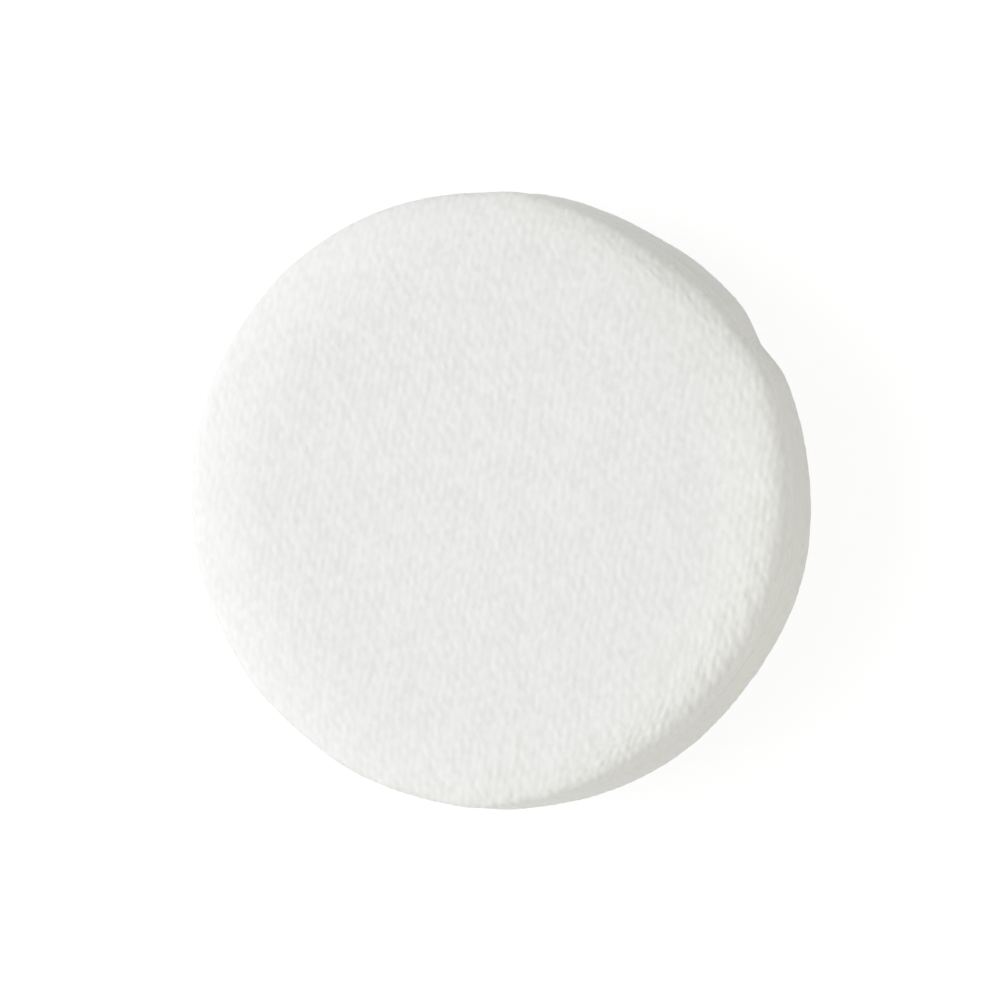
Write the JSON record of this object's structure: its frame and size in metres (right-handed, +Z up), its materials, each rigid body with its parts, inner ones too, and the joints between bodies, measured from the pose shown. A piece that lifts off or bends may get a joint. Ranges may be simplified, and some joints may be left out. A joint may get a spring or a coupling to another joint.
{
  "type": "powder puff",
  "caption": "Round velour powder puff with a foam core, a sewn edge seam and a satin finger ribbon across the back, lying on its ribbon with the powder face up",
  "frame": {"origin": "on the surface that the puff lies on, at the middle of the flat stretch of the finger ribbon, under the puff's centre", "axes": "+Z goes up through the middle of the powder face, +X runs along the finger ribbon, +Y runs across it"},
  "size_m": [0.0694, 0.0702, 0.0195],
  "materials": {
    "velour": "white knitted velour with a short dense pile",
    "foam": "open-cell soft polyurethane foam, off-white",
    "satin": "white double-faced satin ribbon with woven edges",
    "thread": "white spun polyester sewing thread"
  },
  "bodies": {
    "root": {"front_cover": "velour", "back_cover": "velour", "foam_core": "foam", "finger_ribbon": "satin", "seam_thread": "thread", "closing_thread": "thread", "ribbon_tack_right": "thread", "ribbon_tack_left": "thread"}
  },
  "joints": []
}
